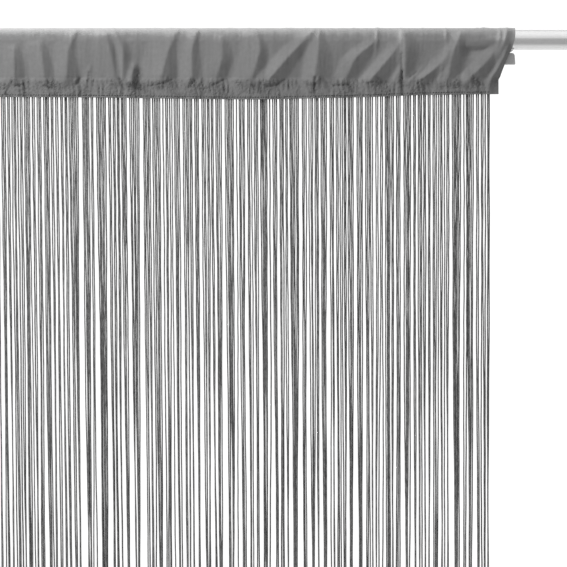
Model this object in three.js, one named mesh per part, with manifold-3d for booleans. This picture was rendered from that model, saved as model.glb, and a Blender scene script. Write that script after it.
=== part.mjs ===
// A string curtain hung on a round rod between two wall brackets.
// Millimetres, +Z up. The curtain's front faces -Y and the wall is on the +Y side.
// Shapes are drawn with the rod's axis on the X axis and the curtain centred on X = 0.
// The whole is then moved so that the origin is on the wall, behind the right bracket.
import * as THREE from "three";
import { mergeVertices } from "three/addons/utils/BufferGeometryUtils.js";
import Module from "manifold-3d";

const wasm = await Module();
wasm.setup();

// Driving sizes
const CURTAIN_WIDTH = 900; // hung, from a cloth about a tenth wider
const CURTAIN_DROP = 2000; // from the top of the heading to the ends of the strings
const ROD_RADIUS = 10;
const ROD_LENGTH = 1100;
const WALL_DISTANCE = 60; // from the wall to the rod's axis
const SEAT_GAP = 0.3; // between pieces that touch

// Cloth
const CLOTH = 1.2;
const SLEEVE_STEPS = 6; // facets over the top of the rod
const SLEEVE_FACET = Math.PI / SLEEVE_STEPS;
const SLEEVE_INNER = (ROD_RADIUS + SEAT_GAP) / Math.cos(SLEEVE_FACET / 2);
const SLEEVE_OUTER = SLEEVE_INNER + CLOTH;
const BAND_TOP = -38; // the seam that closes the pocket
const STRIP_THICKNESS = 1.2;
const SLOT_WIDTH = STRIP_THICKNESS + 1;
const SLOT_TOP = -45;
const BAND_HALF = SLOT_WIDTH / 2 + CLOTH;
const POCKET_FLOOR = BAND_TOP + 2;
const HEADING_SECTIONS = 90;

// Strings
const TEETH = 85;
const STRINGS_WIDTH = 850;
const TOOTH_GAP = 2.4;
const TOOTH_UNEVENNESS = 0.1; // share by which a tooth is wider or narrower than the middle one
const STRIP_TOP = SLOT_TOP - 0.5;
const STRING_END = SLEEVE_OUTER - CURTAIN_DROP;
const LEAN = 0.0117; // sideways run for each millimetre down, where it is greatest
const LEAN_PEAK_X = -65;
const LEAN_REACH = 490;

// Brackets
const BRACKET_X = CURTAIN_WIDTH / 2 - 8.5;
const CUP_WIDTH = 8;
const CUP_INNER = 10.5;
const CUP_OUTER = 12.8;
const CUP_DIP = 0.14; // radians below the rod's axis at which each horn of the cup ends
const STEM_RADIUS = 4;
const PLATE_RADIUS = 12;
const PLATE_THICKNESS = 4;
const SHANK_RADIUS = 2;
const GRIP_TOP = -13.2;
const GRIP_FOOT = -24.9;
const GRIP_TOP_HALF = 8;
const GRIP_FOOT_HALF = 8.9;
const GRIP_CORNER = 3;
const GRIP_THICKNESS = 5;

// How far each end of the heading is drawn in from its full half width, on its two layers.
// The back layer stops short of the bracket's stem.
const END_EDGE = [
  { z: 12, front: 0, back: 0.5 },
  { z: 10.3, front: 0, back: 4 },
  { z: 6, front: 0, back: 14.5 },
  { z: 0, front: 1, back: 16.5 },
  { z: -7, front: 3.5, back: 16.5 },
  { z: -18, front: 8, back: 16.5 },
  { z: -29, front: 12.5, back: 16.5 },
  { z: -38, front: 16.5, back: 16.5 },
  { z: -60, front: 16.5, back: 16.5 },
];

// The lower edge of the heading, which hangs a little lower where the cloth is loose.
const HEM = [
  { x: -434, z: -54.6 },
  { x: -290, z: -57.4 },
  { x: -170, z: -58.8 },
  { x: -65, z: -57.2 },
  { x: 35, z: -57.7 },
  { x: 135, z: -59.2 },
  { x: 195, z: -59.7 },
  { x: 305, z: -57.2 },
  { x: 355, z: -55.2 },
  { x: 434, z: -54.2 },
];

// The gathered band wanders a little to the front and back as it runs along the rod.
const BAND_WAVES = [
  { reach: 0.8, spread: 11, start: 0 },
  { reach: 0.4, spread: 6.3, start: 1.1 },
];

// Main folds of the heading: a crest (lift > 0) or a trough (lift < 0) from its top to its foot.
const FOLDS = [
  { xTop: -49, zTop: -15, xFoot: -41, zFoot: -36, width: 8, lift: -2.2 },
  { xTop: -32, zTop: -8, xFoot: -28, zFoot: -34, width: 8, lift: 1.6 },
  { xTop: -20, zTop: -5, xFoot: -11, zFoot: -38, width: 8, lift: -2.0 },
  { xTop: 5, zTop: -4, xFoot: 10, zFoot: -38, width: 9, lift: -2.6 },
  { xTop: 26, zTop: -3, xFoot: 33, zFoot: -34, width: 9, lift: 1.8 },
  { xTop: 50, zTop: 0, xFoot: 57, zFoot: -38, width: 9, lift: -2.4 },
  { xTop: 84, zTop: -8, xFoot: 84, zFoot: -34, width: 10, lift: 2.0 },
  { xTop: 107, zTop: -2, xFoot: 98, zFoot: -38, width: 10, lift: -2.8 },
  { xTop: 128, zTop: -5, xFoot: 134, zFoot: -36, width: 8, lift: -2.0 },
  { xTop: 146, zTop: -4, xFoot: 140, zFoot: -30, width: 9, lift: 1.8 },
  { xTop: 175, zTop: -8, xFoot: 157, zFoot: -38, width: 10, lift: -2.4 },
  { xTop: 204, zTop: -5, xFoot: 192, zFoot: -38, width: 9, lift: -2.2 },
  { xTop: 226, zTop: -8, xFoot: 204, zFoot: -38, width: 9, lift: 2.4 },
  { xTop: 250, zTop: 0, xFoot: 212, zFoot: -38, width: 9, lift: -2.2 },
  { xTop: 262, zTop: -8, xFoot: 252, zFoot: -38, width: 8, lift: -2.0 },
  { xTop: 292, zTop: -4, xFoot: 276, zFoot: -34, width: 9, lift: 1.8 },
  { xTop: 308, zTop: -6, xFoot: 283, zFoot: -38, width: 9, lift: -2.4 },
  { xTop: 334, zTop: -8, xFoot: 300, zFoot: -38, width: 9, lift: 2.6 },
  { xTop: 339, zTop: -2, xFoot: 338, zFoot: -38, width: 7, lift: -2.6 },
  { xTop: 380, zTop: -10, xFoot: 345, zFoot: -38, width: 10, lift: 2.4 },
  { xTop: 400, zTop: -2, xFoot: 386, zFoot: -38, width: 9, lift: -2.4 },
  { xTop: 428, zTop: -8, xFoot: 395, zFoot: -36, width: 9, lift: 2.2 },
  { xTop: 438, zTop: -6, xFoot: 412, zFoot: -34, width: 8, lift: -1.8 },
];
const FOLD_SCALE = 1.35;
const FOLD_REPEAT = -485; // the same run of folds again, along the other half of the curtain
const BACK_FOLD_SHARE = 0.7;
const BACK_FOLD_SHIFT = 23;
const FOLD_AT_ROD = 0.25; // of half a turn of the sine that lets the folds out below the rod
const FOLD_AT_MOUTH = 0.3; // share of the folds left at the open ends
const POCKET_TAPER = 1.25; // above 1 the pocket stays wide for longer below the rod
const ROD_CLEARANCE = 1; // a trough goes no nearer to the rod's side than this
const MOUTH_BULGE = 5.5;
const MOUTH_REACH = 42; // from each end of the heading

// Heights of the heading's cross section between the rod and the hem, from the top down
const POCKET_HEIGHTS = [-7, -18, -29];
const BAND_MIDDLE = -47.5;

// The bands of the comb's teeth, as shares of the strings' length
const TOOTH_LEVELS = [
  { share: 0.28, width: 0.92 },
  { share: 1, width: 0.76 },
];

function lerpTable(table, key, at, value) {
  const rising = table[0][key] < table[table.length - 1][key];
  const rows = rising ? table : [...table].reverse();
  const held = THREE.MathUtils.clamp(at, rows[0][key], rows[rows.length - 1][key]);
  const i = Math.max(1, rows.findIndex((row) => row[key] >= held));
  const share = (held - rows[i - 1][key]) / (rows[i][key] - rows[i - 1][key]);
  return THREE.MathUtils.lerp(rows[i - 1][value], rows[i][value], share);
}

const hemHeight = (x) => lerpTable(HEM, "x", x, "z");

function bandWander(x) {
  return BAND_WAVES.reduce((sum, wave) => sum + wave.reach * Math.sin(x / wave.spread + wave.start), 0);
}

function foldLift(x, z) {
  let lift = 0;
  for (const fold of FOLDS) {
    for (const shift of [0, FOLD_REPEAT]) {
      const top = new THREE.Vector2(fold.xTop + shift, fold.zTop);
      const run = new THREE.Vector2(fold.xFoot - fold.xTop, fold.zFoot - fold.zTop);
      const at = new THREE.Vector2(x, z).sub(top);
      const along = THREE.MathUtils.clamp(at.dot(run) / run.lengthSq(), 0, 1);
      const away = at.sub(run.multiplyScalar(along)).length();
      lift += fold.lift * Math.exp(-((away / fold.width) ** 2));
    }
  }
  return FOLD_SCALE * lift;
}

// From 0 along the heading to 1 at its two open ends.
function mouthShare(x) {
  const fromEnd = CURTAIN_WIDTH / 2 - Math.abs(x);
  return THREE.MathUtils.smoothstep(MOUTH_REACH - fromEnd, 0, MOUTH_REACH / 2);
}

// The front stands off further near each end, to pass the bracket's cup.
function mouthBulge(x, side) {
  return side < 0 ? MOUTH_BULGE * mouthShare(x) : 0;
}

// Half the depth of the pocket, from its middle to the inside of the cloth.
function pocketDepth(x, z, side) {
  const drop = THREE.MathUtils.clamp(z / BAND_TOP, 0, 1);
  const hang = THREE.MathUtils.lerp(SLEEVE_INNER, BAND_HALF - CLOTH, drop ** POCKET_TAPER);
  const loose = Math.sin(Math.PI * THREE.MathUtils.lerp(FOLD_AT_ROD, 1, drop));
  const free = loose * THREE.MathUtils.lerp(1, FOLD_AT_MOUTH, mouthShare(x));
  const folds = side < 0
    ? foldLift(x, z)
    : BACK_FOLD_SHARE * foldLift(x + BACK_FOLD_SHIFT, z);
  const rodSurface = Math.sqrt(Math.max(0, (SLEEVE_INNER + ROD_CLEARANCE) ** 2 - z ** 2));
  return Math.max(rodSurface, 1, hang + free * folds + (1 - drop) * mouthBulge(x, side));
}

// One cross section of the heading at this share of its width, on layers -1 (front) and 1 (back).
function headingOutline(share) {
  const place = (z, side) => {
    const drawnIn = lerpTable(END_EDGE, "z", z, side < 0 ? "front" : "back");
    return (2 * share - 1) * (CURTAIN_WIDTH / 2 - drawnIn);
  };
  const sleevePoint = (thickness) => (z, side) => {
    const x = place(z, side);
    const sink = THREE.MathUtils.clamp(z / BAND_TOP, 0, 1) * bandWander(x);
    return { x, y: sink + side * (pocketDepth(x, z, side) + thickness), z };
  };
  const outer = sleevePoint(CLOTH);
  const inner = sleevePoint(0);
  const flat = (half, z, side) => {
    const x = place(z, side);
    return { x, y: bandWander(x) + side * half, z };
  };
  const overRod = (radius) => {
    const points = [];
    for (let i = 0; i <= SLEEVE_STEPS; i++) {
      const turn = i * SLEEVE_FACET;
      const z = radius * Math.sin(turn);
      const side = i < SLEEVE_STEPS / 2 ? 1 : -1;
      const x = place(z, side);
      const across = Math.cos(turn);
      points.push({ x, y: (radius + mouthBulge(x, side)) * across, z });
    }
    return points;
  };
  const hem = hemHeight(place(BAND_MIDDLE, -1));
  const falling = [BAND_TOP, BAND_MIDDLE, hem];
  const outside = [
    ...falling.map((z) => flat(BAND_HALF, z, 1)).reverse(),
    ...POCKET_HEIGHTS.map((z) => outer(z, 1)).reverse(),
    ...overRod(SLEEVE_OUTER),
    ...POCKET_HEIGHTS.map((z) => outer(z, -1)),
    ...falling.map((z) => flat(BAND_HALF, z, -1)),
    flat(SLOT_WIDTH / 2, hem, -1),
    flat(SLOT_WIDTH / 2, SLOT_TOP, -1),
    flat(SLOT_WIDTH / 2, SLOT_TOP, 1),
    flat(SLOT_WIDTH / 2, hem, 1),
  ];
  const inside = [
    flat(0, POCKET_FLOOR, 1),
    ...POCKET_HEIGHTS.map((z) => inner(z, 1)).reverse(),
    ...overRod(SLEEVE_INNER),
    ...POCKET_HEIGHTS.map((z) => inner(z, -1)),
  ];
  return { outside, inside };
}

// Gathers points and faces into one closed geometry.
function bodyBuilder() {
  const points = [];
  const faces = [];
  return {
    point: (x, y, z) => points.push(x, y, z) / 3 - 1,
    triangle: (a, b, c) => faces.push(a, b, c),
    quad: (a, b, c, d) => faces.push(a, b, c, a, c, d),
    geometry: () => {
      const made = new THREE.BufferGeometry();
      made.setAttribute("position", new THREE.Float32BufferAttribute(points, 3));
      made.setIndex(faces);
      return made;
    },
  };
}

function joinRings(body, near, far, inward) {
  near.forEach((a, i) => {
    const next = (i + 1) % near.length;
    const corners = [a, near[next], far[next], far[i]];
    body.quad(...(inward ? corners.reverse() : corners));
  });
}

// The end of the heading: the cloth's cut edge between its outer and inner outline.
function closeEnd(body, section, facesRight) {
  const flatten = (list) => list.map((point) => new THREE.Vector2(point.y, point.z));
  const contour = flatten(section.outline.outside);
  const hole = flatten(section.outline.inside);
  const all = [...contour, ...hole];
  const ring = [...section.outside, ...section.inside];
  for (const [a, b, c] of THREE.ShapeUtils.triangulateShape(contour, [hole])) {
    const turnsLeft = THREE.ShapeUtils.area([all[a], all[b], all[c]]) > 0;
    const order = turnsLeft === facesRight ? [a, b, c] : [a, c, b];
    body.triangle(...order.map((i) => ring[i]));
  }
}

function headingGeometry() {
  const body = bodyBuilder();
  const place = (point) => body.point(point.x, point.y, point.z);
  const sections = [];
  for (let i = 0; i <= HEADING_SECTIONS; i++) {
    const outline = headingOutline(i / HEADING_SECTIONS);
    sections.push({
      outline,
      outside: outline.outside.map(place),
      inside: outline.inside.map(place),
    });
  }
  for (let i = 0; i < HEADING_SECTIONS; i++) {
    joinRings(body, sections[i].outside, sections[i + 1].outside, false);
    joinRings(body, sections[i].inside, sections[i + 1].inside, true);
  }
  closeEnd(body, sections[0], false);
  closeEnd(body, sections[HEADING_SECTIONS], true);
  return body.geometry();
}

// A repeatable unevenness between -1 and 1 for the tooth with this number.
function uneven(number) {
  const wave = Math.sin(number * 12.9898) * 43.7585;
  return 2 * (wave - Math.floor(wave)) - 1;
}

function stringLean(x) {
  const turn = Math.min(Math.PI, (Math.PI * Math.abs(x - LEAN_PEAK_X)) / LEAN_REACH);
  return (LEAN * (1 + Math.cos(turn))) / 2;
}

// The strip and its strings as one comb, each tooth a small bunch of neighbouring strings.
function stringsGeometry() {
  const body = bodyBuilder();
  const pitch = STRINGS_WIDTH / TEETH;
  const halfDepth = STRIP_THICKNESS / 2;
  const column = (x) => {
    const middle = bandWander(x);
    const foot = hemHeight(x);
    return {
      frontTop: body.point(x, middle - halfDepth, STRIP_TOP),
      backTop: body.point(x, middle + halfDepth, STRIP_TOP),
      backFoot: body.point(x, middle + halfDepth, foot),
      frontFoot: body.point(x, middle - halfDepth, foot),
    };
  };
  const joinColumns = (a, b, open) => {
    body.quad(a.frontTop, b.frontTop, b.backTop, a.backTop);
    body.quad(a.frontFoot, b.frontFoot, b.frontTop, a.frontTop);
    body.quad(b.backFoot, a.backFoot, a.backTop, b.backTop);
    if (open) {
      body.quad(a.backFoot, b.backFoot, b.frontFoot, a.frontFoot);
    }
  };
  const addTooth = (number, left, right, centre, halfWidth) => {
    let ring = [left.frontFoot, right.frontFoot, right.backFoot, left.backFoot];
    const top = hemHeight(centre);
    const middle = bandWander(centre);
    for (const level of TOOTH_LEVELS) {
      const z = THREE.MathUtils.lerp(top, STRING_END, level.share);
      const drift = level.share * uneven(number) + stringLean(centre) * (top - z);
      const corners = [[-1, -1], [1, -1], [1, 1], [-1, 1]];
      const lower = corners.map(([sideX, sideY]) => {
        const x = centre + drift + sideX * halfWidth * level.width;
        return body.point(x, middle + sideY * halfDepth, z);
      });
      ring.forEach((upper, i) => {
        const next = (i + 1) % ring.length;
        body.quad(lower[i], lower[next], ring[next], upper);
      });
      ring = lower;
    }
    body.quad(ring[3], ring[2], ring[1], ring[0]);
  };
  let previous = null;
  for (let i = 0; i < TEETH; i++) {
    const centre = -STRINGS_WIDTH / 2 + (i + 0.5) * pitch;
    const halfWidth = ((pitch - TOOTH_GAP) / 2) * (1 + TOOTH_UNEVENNESS * uneven(TEETH + i));
    const left = column(centre - halfWidth);
    const right = column(centre + halfWidth);
    if (previous) {
      joinColumns(previous, left, true);
    } else {
      body.quad(left.frontTop, left.backTop, left.backFoot, left.frontFoot);
    }
    joinColumns(left, right, false);
    addTooth(i, left, right, centre, halfWidth);
    previous = right;
  }
  body.quad(previous.frontFoot, previous.backFoot, previous.backTop, previous.frontTop);
  return body.geometry();
}

// A solid turned from a profile of { r, h } rows about its height axis.
function turned(profile, sides) {
  return new THREE.LatheGeometry(profile.map((row) => new THREE.Vector2(row.r, row.h)), sides);
}

function rodGeometry() {
  const edge = 1;
  const half = ROD_LENGTH / 2;
  const profile = [
    { r: 0, h: -half },
    { r: ROD_RADIUS - edge, h: -half },
    { r: ROD_RADIUS, h: edge - half },
    { r: ROD_RADIUS, h: half - edge },
    { r: ROD_RADIUS - edge, h: half },
    { r: 0, h: half },
  ];
  return turned(profile, 32).rotateZ(Math.PI / 2);
}

function toSolid(geometry) {
  const bare = geometry.clone();
  bare.deleteAttribute("normal");
  bare.deleteAttribute("uv");
  const merged = mergeVertices(bare, 1e-4);
  return new wasm.Manifold(new wasm.Mesh({
    numProp: 3,
    vertProperties: merged.attributes.position.array,
    triVerts: new Uint32Array(merged.index.array),
  }));
}

function toGeometry(solid) {
  const mesh = solid.getMesh();
  const made = new THREE.BufferGeometry();
  made.setAttribute("position", new THREE.BufferAttribute(mesh.vertProperties, 3));
  made.setIndex(new THREE.BufferAttribute(mesh.triVerts, 1));
  return made;
}

// The open cup under the rod with its stem to the wall plate, and a hole for the clamp screw.
function armGeometry() {
  const cupShape = new THREE.Shape();
  cupShape.absarc(0, 0, CUP_OUTER, Math.PI + CUP_DIP, -CUP_DIP + 2 * Math.PI, false);
  cupShape.absarc(0, 0, CUP_INNER, -CUP_DIP, -Math.PI + CUP_DIP, true);
  cupShape.closePath();
  const cup = new THREE.ExtrudeGeometry(cupShape, {
    depth: CUP_WIDTH, bevelEnabled: false, curveSegments: 14,
  });
  cup.translate(0, 0, -CUP_WIDTH / 2);
  cup.rotateY(Math.PI / 2);
  cup.rotateX(Math.PI / 2);
  const stemStart = CUP_INNER + 0.8;
  const stemEnd = WALL_DISTANCE - PLATE_THICKNESS - SEAT_GAP;
  const stem = new THREE.CylinderGeometry(STEM_RADIUS, STEM_RADIUS, stemEnd - stemStart, 20);
  stem.translate(0, (stemStart + stemEnd) / 2, 0);
  const holeRadius = SHANK_RADIUS + SEAT_GAP;
  const hole = new THREE.CylinderGeometry(holeRadius, holeRadius, 8, 20);
  hole.rotateX(Math.PI / 2).translate(0, 0, -CUP_OUTER);
  return toGeometry(toSolid(cup).add(toSolid(stem)).subtract(toSolid(hole)));
}

// The screw that clamps the rod in its cup, with a flat tapered grip for the fingers.
function clampScrewGeometry() {
  const outline = new THREE.Shape();
  const shoulderZ = GRIP_TOP - GRIP_CORNER;
  outline.moveTo(-GRIP_FOOT_HALF, GRIP_FOOT);
  outline.lineTo(GRIP_FOOT_HALF, GRIP_FOOT);
  outline.lineTo(GRIP_TOP_HALF, shoulderZ);
  outline.absarc(GRIP_TOP_HALF - GRIP_CORNER, shoulderZ, GRIP_CORNER, 0, Math.PI / 2, false);
  outline.absarc(GRIP_CORNER - GRIP_TOP_HALF, shoulderZ, GRIP_CORNER, Math.PI / 2, Math.PI, false);
  outline.closePath();
  const grip = new THREE.ExtrudeGeometry(outline, {
    depth: GRIP_THICKNESS, bevelEnabled: false, curveSegments: 5,
  });
  grip.translate(0, 0, -GRIP_THICKNESS / 2);
  grip.rotateX(Math.PI / 2);
  const shankTop = -ROD_RADIUS - SEAT_GAP;
  const shankFoot = GRIP_TOP - GRIP_CORNER;
  const shank = new THREE.CylinderGeometry(SHANK_RADIUS, SHANK_RADIUS, shankTop - shankFoot, 16);
  shank.rotateX(Math.PI / 2).translate(0, 0, (shankTop + shankFoot) / 2);
  return toGeometry(toSolid(grip).add(toSolid(shank)));
}

function wallPlateGeometry() {
  const edge = 1.2;
  const profile = [
    { r: 0, h: -PLATE_THICKNESS },
    { r: PLATE_RADIUS - edge, h: -PLATE_THICKNESS },
    { r: PLATE_RADIUS, h: edge - PLATE_THICKNESS },
    { r: PLATE_RADIUS, h: 0 },
    { r: 0, h: 0 },
  ];
  return turned(profile, 32);
}

const finishes = {
  cloth: new THREE.MeshStandardMaterial({ color: 0x7d7d7d, roughness: 0.85 }),
  yarn: new THREE.MeshStandardMaterial({ color: 0x6a6a6a, roughness: 0.8 }),
  rodMetal: new THREE.MeshStandardMaterial({ color: 0xd8d8d8, roughness: 0.2, metalness: 0.9 }),
  bracketMetal: new THREE.MeshStandardMaterial({ color: 0x8c8c8c, roughness: 0.4, metalness: 0.7 }),
};

function part(name, geometry, finish) {
  const mesh = new THREE.Mesh(geometry, finish);
  mesh.name = name;
  return mesh;
}

function bracket(side, x) {
  const group = new THREE.Group();
  group.position.x = x;
  const plate = part(`wall_plate_${side}`, wallPlateGeometry(), finishes.bracketMetal);
  plate.position.y = WALL_DISTANCE;
  group.add(
    plate,
    part(`bracket_arm_${side}`, armGeometry(), finishes.bracketMetal),
    part(`clamp_screw_${side}`, clampScrewGeometry(), finishes.bracketMetal),
  );
  return group;
}

const curtain = new THREE.Group();
curtain.add(
  part("rod", rodGeometry(), finishes.rodMetal),
  part("heading", headingGeometry(), finishes.cloth),
  part("strings", stringsGeometry(), finishes.yarn),
  bracket("left", -BRACKET_X),
  bracket("right", BRACKET_X),
);
curtain.position.set(-BRACKET_X, -WALL_DISTANCE, 0);

const group = new THREE.Group();
group.add(curtain);

export default group;
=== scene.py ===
"""A string curtain on a round rod between two wall brackets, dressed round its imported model.

The frame is in metres, +Z up, with the front facing -Y and the wall on the +Y side.
Cloth and strings are worked out in millimetres across, out and up: across from the middle of
the curtain, out from the rod's axis towards the wall, and up from the rod's axis.
"""
import math
from collections import namedtuple

import bmesh
import bpy
import numpy as np
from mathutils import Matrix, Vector


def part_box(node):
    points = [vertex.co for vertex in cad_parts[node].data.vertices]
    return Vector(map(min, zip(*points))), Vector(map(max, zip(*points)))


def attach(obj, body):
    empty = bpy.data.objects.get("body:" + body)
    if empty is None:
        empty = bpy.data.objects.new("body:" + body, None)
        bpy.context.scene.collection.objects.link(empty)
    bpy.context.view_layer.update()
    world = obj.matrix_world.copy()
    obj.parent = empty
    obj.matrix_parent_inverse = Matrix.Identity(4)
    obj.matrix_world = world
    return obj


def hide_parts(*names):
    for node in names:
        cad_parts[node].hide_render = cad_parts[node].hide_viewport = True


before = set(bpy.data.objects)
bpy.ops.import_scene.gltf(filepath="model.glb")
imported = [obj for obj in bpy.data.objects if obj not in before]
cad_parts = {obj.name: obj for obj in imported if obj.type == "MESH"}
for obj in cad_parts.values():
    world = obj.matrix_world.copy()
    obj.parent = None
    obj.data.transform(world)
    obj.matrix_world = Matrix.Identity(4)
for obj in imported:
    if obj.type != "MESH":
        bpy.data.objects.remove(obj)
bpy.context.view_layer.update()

MM = 0.001
BODY = "root"

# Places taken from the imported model
rod_low, rod_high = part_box("rod")
heading_low, heading_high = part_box("heading")
strings_low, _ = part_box("strings")
ROD_Y = (rod_low.y + rod_high.y) / 2
ROD_RADIUS = rod_high.z
MIDDLE_X = (heading_low.x + heading_high.x) / 2
HALF_WIDTH = (heading_high.x - heading_low.x) / 2 / MM
SLEEVE_RADIUS = heading_high.z / MM
STRING_END = strings_low.z / MM

# The photograph's frame: its sides and where its top left corner lies on the rod's plane
VIEW_SIDE = 0.567
VIEW_LEFT = -0.5065
VIEW_TOP = 0.0398
CAMERA_DISTANCE = 6.0
SENSOR = 36.0

# Heading: the cloth's thickness, and the size of its flat piece in metres
CLOTH = 1.2
CUT_SIZE = (1.0, 0.165)

# The pocket round the rod, which narrows down to the sewn band
BAND_TOP = -38.0
BAND_HALF = 2.3
BAND_SLACK = 0.5
LEAST_HALF = 1.9
POCKET_TAPER = 1.25
ROD_CLEARANCE = 0.15
SEAM_UP = -46.0

# The band's own runs to the front and back: how far, over what length and from what start
BAND_RUNS = ((0.8, 11.0, 0.0), (0.4, 6.3, 1.1))

# The plain tab at each end of the band, which turns to the wall
TAB_ACROSS = 422.0
TAB_TURN = 0.22

# The pocket's mouth, which stands out in front round the bracket
MOUTH_BULGE = 3.2
MOUTH_REACH = 34.0
BULGE_BEGINS = (6.0, -4.0)

# The folds: how they are rounded, the least width of their right side, where they begin above
# or below their top, and how they fade into the band
CREASE_ROUNDING = 1.3
EASED_OVER = (-6.0, -3.0, 0.0, 3.0, 6.0)
LEAST_WIDTH = 0.3
FOLD_BEGINS = (7.0, -3.0)
FOLD_FADES = (-35.0, -50.0)
FOLD_IN_BAND = 0.25

# Over the rod the folds are flatter and go over to those of the back layer, which has them
# lower and shifted, and lower still at the pocket's mouth
CREST_FLATTER = 0.65
CREST_FROM = 3.0
OVER_TO_BACK = (math.radians(55), math.radians(125))
BACK_FOLD_SHARE = 0.6
BACK_FOLD_SHIFT = 23.0
FOLD_AT_MOUTH = 0.3

# The low wrinkles all over the pocket
SLOW_WRINKLES = 0.13
FINE_WRINKLES = 0.07

# The left part, outside the photo, repeats the folds and tucks as far as they fit
FOLD_REPEAT = -485.0
REPEAT_UP_TO = 395.0

# The tucks: uneven, with painted shade, only near the band, and beginning below the rod's axis
NEAR_BAND = (-24.0, -31.0)
TUCKS_BEGIN = (1.0, -5.0)
TUCK_SHARE = 0.75
TUCK_EVEN = 0.85
TUCK_UNEVEN = 0.25

# The puckers of the gathered band
GATHERED_FROM = (-37.0, -43.0)
GATHERED_UNEVEN = 2.2
GATHERS = 0.75
GATHERS_EVEN = 0.75
GATHERS_UNEVEN = 0.3
UPRIGHT_PUCKERS = 0.62
SMALL_PUCKERS = 0.38

# The depth of a tuck at its darkest painted shade, and the painted shade between the puckers
FULL_SHADE_TUCK_DEPTH = 2.2
PUCKER_SHADE = 0.55

# The cloth's columns of points, which lie further apart on the part outside the photo
COLUMNS = 600
FAR_COLUMNS = 185
FAR_STEP = 1.65

# Its rows, as the first, the last and how many: by height on the pocket, by turn over the rod,
# and from the seam (0) to the hem (1) in the band
FRONT_BAND_ROWS = (1, 0.08, 12)
FRONT_FOOT_ROWS = (SEAM_UP, -34, 13)
FRONT_ROWS = (-32.7, -1.0, 23)
OVER_ROWS = (0, math.pi, 17)
BACK_ROWS = (-3.5, SEAM_UP, 11)
BACK_BAND_ROWS = (0.25, 1, 4)

# How far each end of the heading is drawn in, by height, on its front and back layers
END_UP = (-60, -40, -37.5, -30, -20, -15, -8, 0, 6, 10.3, 12)
END_FRONT = (16.5, 16.5, 15, 12.4, 8.5, 6.3, 3, 0.8, 0, 0, 0)
END_BACK = (16.5, 16.5, 16.5, 16.5, 16.5, 16.5, 16.5, 16.5, 14.5, 4, 0.5)

# The lower edge of the heading's band
HEM_ACROSS = (-434, -290, -170, -65, 35, 135, 195, 305, 355, 434)
HEM_UP = (-54.6, -57.4, -58.8, -57.2, -57.7, -59.2, -59.7, -57.2, -55.2, -54.2)

# A fold's crest runs through its top, knee and foot, each (across, up). Its left side rises
# gently over `left`, and its right side falls at `steep` over the widths in `right`, which
# are those at the top, knee and foot.
Fold = namedtuple("Fold", "top knee foot right left steep")
FOLDS = [
    Fold((-50, -8), (-50.5, -20), (-50, -46), (5, 10, 11), 16, 0.48),
    Fold((-25, -4), (-22.5, -20), (-20, -42), (6, 9.5, 11), 15, 0.48),
    Fold((14, 10), (4, -7), (1.5, -40), (1.2, 6, 14), 15, 0.50),
    Fold((26, -29), (23, -36), (20, -47), (1.5, 3, 3), 3, 0.60),
    Fold((41, 4), (46, -13), (51, -40), (4, 7, 5), 22, 0.60),
    Fold((48, 10), (58, -8), (58, -40), (3, 9, 6.5), 6, 0.45),
    Fold((70, -26), (67, -35), (65, -47), (3, 10, 12), 6, 0.46),
    Fold((115, 12), (104, -9), (95, -42), (1.2, 7.5, 18), 24, 0.50),
    Fold((134, 9), (127, -7), (126.5, -42), (1.2, 7, 12.5), 12, 0.50),
    Fold((157, -1), (158, -18), (150, -42), (6, 12, 9), 18, 0.42),
    Fold((190, 11), (196, -8), (186, -42), (1.6, 8.5, 12.5), 20, 0.47),
    Fold((252, 11), (228, -12), (200, -44), (2, 12, 18), 15, 0.40),
    Fold((255, 10), (253.5, -10), (248, -44), (1.5, 13, 18), 13, 0.42),
    Fold((311, -2), (291, -16), (279, -43), (5, 16, 9), 14, 0.38),
    Fold((312, 12), (312, -5), (310, -23), (2.2, 2.2, 0), 2.2, 0.60),
    Fold((336, -2), (325, -17), (301, -45), (2, 13, 20), 12, 0.39),
    Fold((334, -33), (329, -40), (323, -50), (2, 6, 7), 6, 0.50),
    Fold((336, 11), (335.5, -15), (335, -50), (2, 2.2, 3), 5, 0.80),
    Fold((338.5, 8), (339.5, -7), (340, -42), (5, 18, 4), 4.5, 0.36),
    Fold((385, -10), (375, -25), (352, -43), (1, 9, 14), 13, 0.50),
    Fold((365, -22), (355, -31), (343, -41), (0, 2.5, 3), 6, 0.60),
    Fold((381, 12), (381, 0), (383, -12), (2, 2, 0), 2.2, 0.60),
    Fold((378, -24), (376, -34), (371, -46), (0, 4, 5), 6, 0.50),
    Fold((395, 3), (387, -13), (382, -42), (5, 16, 12), 10, 0.40),
    Fold((433, -6), (422, -22), (400, -42), (8, 11, 18), 14, 0.34),
    Fold((443, -6), (436, -24), (424, -42), (3, 5, 6), 5, 0.80),
    Fold((435, 12), (435, 0), (432, -9), (2.5, 2.5, 1), 3, 0.60),
    Fold((442, 13), (440, -2), (434, -12), (7, 6, 3), 4, 0.42),
]

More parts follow.
